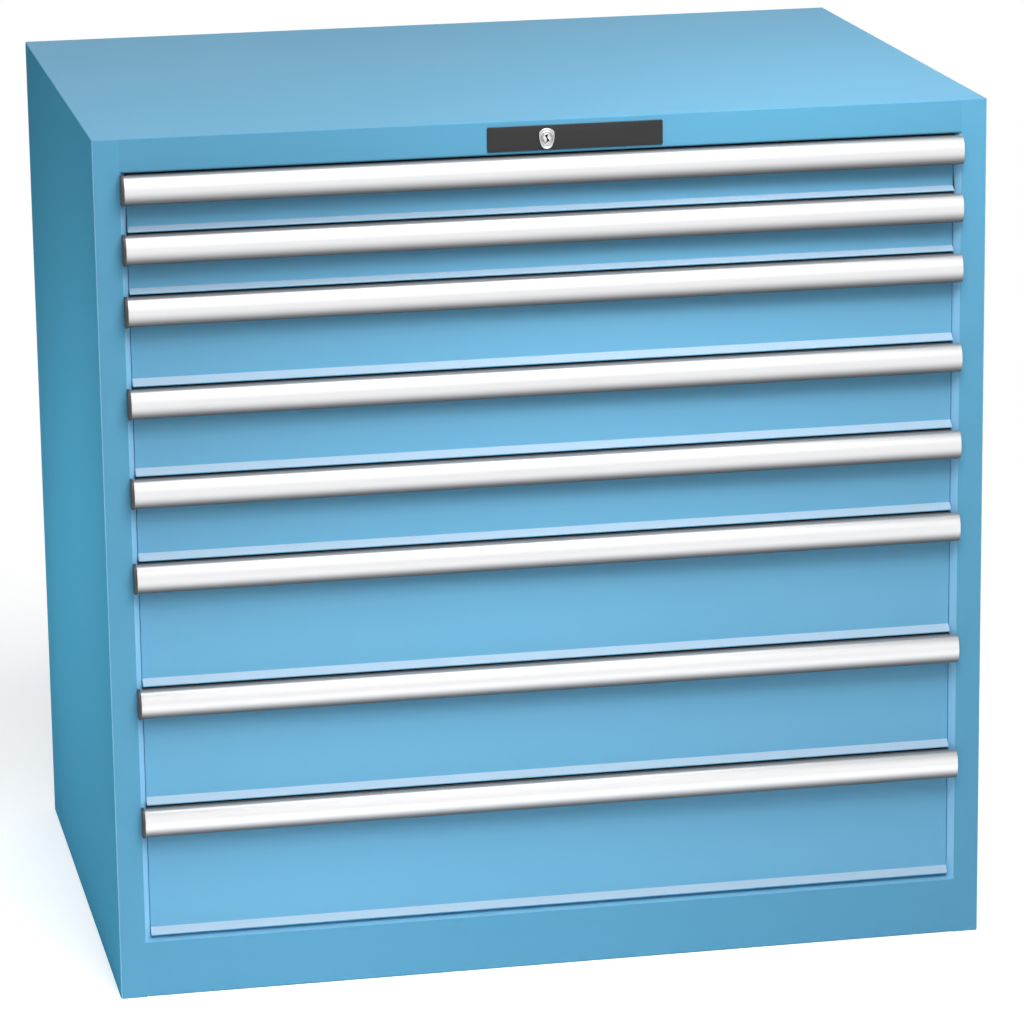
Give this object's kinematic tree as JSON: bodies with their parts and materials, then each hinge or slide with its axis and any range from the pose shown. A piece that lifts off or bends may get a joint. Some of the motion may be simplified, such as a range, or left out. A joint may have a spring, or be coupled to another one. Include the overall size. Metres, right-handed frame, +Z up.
{
  "type": "modular drawer cabinet",
  "caption": "Free-standing steel cabinet whose full-width drawers of several heights run on telescopic runners, with a central key lock.",
  "frame": {"origin": "bottom centre of the whole cabinet, handles included, on the floor", "axes": "+X to the right seen from the front, +Y to the back, +Z up; the drawers open along -Y"},
  "size_m": [1.023, 0.7404, 1],
  "materials": {
    "cabinet_paint": "satin light blue powder coat",
    "front_paint": "satin light blue powder coat",
    "box_paint": "light grey powder coat",
    "handle_aluminium": "satin anodised",
    "cap_plastic": "moulded, fine grain",
    "runner_steel": "zinc plated",
    "plate_dark": "satin anthracite",
    "shield_chrome": "polished nickel",
    "lock_steel": "turned nickel"
  },
  "bodies": {
    "housing": {"side_panel_right": "cabinet_paint", "side_panel_left": "cabinet_paint", "back_panel": "cabinet_paint", "top_panel": "cabinet_paint", "base_panel": "cabinet_paint", "plinth_rail": "cabinet_paint", "lock_rail": "cabinet_paint", "uprights_left": "runner_steel", "uprights_right": "runner_steel", "cabinet_rails_left": "runner_steel", "cabinet_rails_right": "runner_steel", "lock_guides": "runner_steel", "lock_cover_plate": "plate_dark", "lock_shield": "shield_chrome", "lock_barrel": "lock_steel"},
    "drawer_1": {"drawer_1_box": "box_paint", "drawer_1_front": "front_paint", "drawer_1_handle": "handle_aluminium", "drawer_1_end_caps": "cap_plastic"},
    "drawer_1_runners": {"drawer_1_middle_rails": "runner_steel"},
    "drawer_2": {"drawer_2_box": "box_paint", "drawer_2_front": "front_paint", "drawer_2_handle": "handle_aluminium", "drawer_2_end_caps": "cap_plastic"},
    "drawer_2_runners": {"drawer_2_middle_rails": "runner_steel"},
    "drawer_3": {"drawer_3_box": "box_paint", "drawer_3_front": "front_paint", "drawer_3_handle": "handle_aluminium", "drawer_3_end_caps": "cap_plastic"},
    "drawer_3_runners": {"drawer_3_middle_rails": "runner_steel"},
    "drawer_4": {"drawer_4_box": "box_paint", "drawer_4_front": "front_paint", "drawer_4_handle": "handle_aluminium", "drawer_4_end_caps": "cap_plastic"},
    "drawer_4_runners": {"drawer_4_middle_rails": "runner_steel"},
    "drawer_5": {"drawer_5_box": "box_paint", "drawer_5_front": "front_paint", "drawer_5_handle": "handle_aluminium", "drawer_5_end_caps": "cap_plastic"},
    "drawer_5_runners": {"drawer_5_middle_rails": "runner_steel"},
    "drawer_6": {"drawer_6_box": "box_paint", "drawer_6_front": "front_paint", "drawer_6_handle": "handle_aluminium", "drawer_6_end_caps": "cap_plastic"},
    "drawer_6_runners": {"drawer_6_middle_rails": "runner_steel"},
    "drawer_7": {"drawer_7_box": "box_paint", "drawer_7_front": "front_paint", "drawer_7_handle": "handle_aluminium", "drawer_7_end_caps": "cap_plastic"},
    "drawer_7_runners": {"drawer_7_middle_rails": "runner_steel"},
    "drawer_8": {"drawer_8_box": "box_paint", "drawer_8_front": "front_paint", "drawer_8_handle": "handle_aluminium", "drawer_8_end_caps": "cap_plastic"},
    "drawer_8_runners": {"drawer_8_middle_rails": "runner_steel"},
    "lock_plug": {"lock_cylinder": "lock_steel", "lock_cam": "runner_steel"},
    "lock_rod": {"transfer_rod": "runner_steel"},
    "lock_crank": {"bell_crank": "runner_steel"},
    "lock_bar": {"locking_bar": "runner_steel"}
  },
  "joints": [
    {"name": "drawer_1_slide", "type": "slide", "parent": "housing", "child": "drawer_1", "axis": [0, -1, 0], "range_m": [0, 0.612]},
    {"name": "drawer_1_runner_slide", "type": "slide", "parent": "housing", "child": "drawer_1_runners", "axis": [0, -1, 0], "range_m": [0, 0.306]},
    {"name": "drawer_2_slide", "type": "slide", "parent": "housing", "child": "drawer_2", "axis": [0, -1, 0], "range_m": [0, 0.612]},
    {"name": "drawer_2_runner_slide", "type": "slide", "parent": "housing", "child": "drawer_2_runners", "axis": [0, -1, 0], "range_m": [0, 0.306]},
    {"name": "drawer_3_slide", "type": "slide", "parent": "housing", "child": "drawer_3", "axis": [0, -1, 0], "range_m": [0, 0.612]},
    {"name": "drawer_3_runner_slide", "type": "slide", "parent": "housing", "child": "drawer_3_runners", "axis": [0, -1, 0], "range_m": [0, 0.306]},
    {"name": "drawer_4_slide", "type": "slide", "parent": "housing", "child": "drawer_4", "axis": [0, -1, 0], "range_m": [0, 0.612]},
    {"name": "drawer_4_runner_slide", "type": "slide", "parent": "housing", "child": "drawer_4_runners", "axis": [0, -1, 0], "range_m": [0, 0.306]},
    {"name": "drawer_5_slide", "type": "slide", "parent": "housing", "child": "drawer_5", "axis": [0, -1, 0], "range_m": [0, 0.612]},
    {"name": "drawer_5_runner_slide", "type": "slide", "parent": "housing", "child": "drawer_5_runners", "axis": [0, -1, 0], "range_m": [0, 0.306]},
    {"name": "drawer_6_slide", "type": "slide", "parent": "housing", "child": "drawer_6", "axis": [0, -1, 0], "range_m": [0, 0.612]},
    {"name": "drawer_6_runner_slide", "type": "slide", "parent": "housing", "child": "drawer_6_runners", "axis": [0, -1, 0], "range_m": [0, 0.306]},
    {"name": "drawer_7_slide", "type": "slide", "parent": "housing", "child": "drawer_7", "axis": [0, -1, 0], "range_m": [0, 0.612]},
    {"name": "drawer_7_runner_slide", "type": "slide", "parent": "housing", "child": "drawer_7_runners", "axis": [0, -1, 0], "range_m": [0, 0.306]},
    {"name": "drawer_8_slide", "type": "slide", "parent": "housing", "child": "drawer_8", "axis": [0, -1, 0], "range_m": [0, 0.612]},
    {"name": "drawer_8_runner_slide", "type": "slide", "parent": "housing", "child": "drawer_8_runners", "axis": [0, -1, 0], "range_m": [0, 0.306]},
    {"name": "lock_bar_lift", "type": "slide", "parent": "housing", "child": "lock_bar", "axis": [0, 0, 1], "range_m": [0, 0.00801]},
    {"name": "lock_turn", "type": "hinge", "parent": "housing", "child": "lock_plug", "pos_m": [-0.0015, -0.3298, 0.9797], "axis": [0, 1, 0], "range_deg": [0, 90]},
    {"name": "lock_rod_slide", "type": "slide", "parent": "housing", "child": "lock_rod", "axis": [1, 0, 0], "range_m": [0, 0.0085]},
    {"name": "lock_crank_turn", "type": "hinge", "parent": "housing", "child": "lock_crank", "pos_m": [0.4655, -0.3298, 0.9817], "axis": [0, -1, 0], "range_deg": [0, 27.3]}
  ],
  "couplings": [
    {"joint": "drawer_1_runner_slide", "follows": "drawer_1_slide", "ratio": 0.5},
    {"joint": "drawer_2_runner_slide", "follows": "drawer_2_slide", "ratio": 0.5},
    {"joint": "drawer_3_runner_slide", "follows": "drawer_3_slide", "ratio": 0.5},
    {"joint": "drawer_4_runner_slide", "follows": "drawer_4_slide", "ratio": 0.5},
    {"joint": "drawer_5_runner_slide", "follows": "drawer_5_slide", "ratio": 0.5},
    {"joint": "drawer_6_runner_slide", "follows": "drawer_6_slide", "ratio": 0.5},
    {"joint": "drawer_7_runner_slide", "follows": "drawer_7_slide", "ratio": 0.5},
    {"joint": "drawer_8_runner_slide", "follows": "drawer_8_slide", "ratio": 0.5},
    {"joint": "lock_turn", "follows": "lock_bar_lift", "rad_per_m": 196.01},
    {"joint": "lock_rod_slide", "follows": "lock_bar_lift", "ratio": 1.0588},
    {"joint": "lock_crank_turn", "follows": "lock_bar_lift", "rad_per_m": 59.382}
  ]
}
